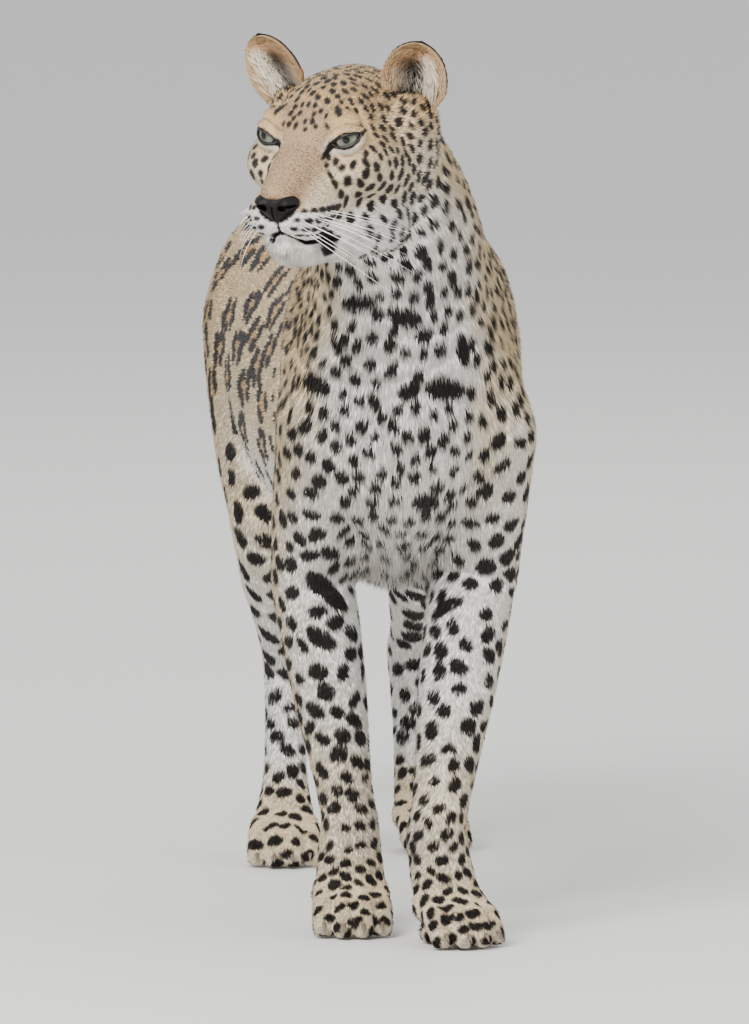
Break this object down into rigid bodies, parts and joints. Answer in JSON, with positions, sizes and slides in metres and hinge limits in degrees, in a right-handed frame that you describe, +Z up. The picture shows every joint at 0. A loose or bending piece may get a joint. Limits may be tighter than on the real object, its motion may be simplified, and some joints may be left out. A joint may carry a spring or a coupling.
{
  "type": "leopard figure",
  "caption": "Life-size standing leopard with its head raised and turned to its right, spotted short coat, long tail hanging and curving back, four flat paws on the floor.",
  "frame": {"origin": "on the floor, under the middle of the animal's box", "axes": "+Z up, -Y the way the body faces, +X the animal's left"},
  "size_m": [0.2738, 1.1757, 0.7573],
  "materials": {
    "spotted_coat": "short fur, tan with black spots and rosettes",
    "paw_coat": "short pale fur with small black spots",
    "eye": "wet gloss, grey-green iris",
    "eyelid": "dark moist skin",
    "nose_leather": "fine-grained dark leather"
  },
  "bodies": {
    "root": {"torso": "spotted_coat", "neck": "spotted_coat", "head": "spotted_coat", "ear_left": "spotted_coat", "ear_right": "spotted_coat", "foreleg_left": "spotted_coat", "foreleg_right": "spotted_coat", "thigh_left": "spotted_coat", "thigh_right": "spotted_coat", "shank_left": "spotted_coat", "shank_right": "spotted_coat", "tail_root": "spotted_coat", "tail_middle": "spotted_coat", "tail_tip": "spotted_coat", "forepaw_left": "paw_coat", "forepaw_right": "paw_coat", "hindpaw_left": "paw_coat", "hindpaw_right": "paw_coat", "eye_left": "eye", "eye_right": "eye", "eyelids_left": "eyelid", "eyelids_right": "eyelid", "nose": "nose_leather"}
  },
  "joints": []
}
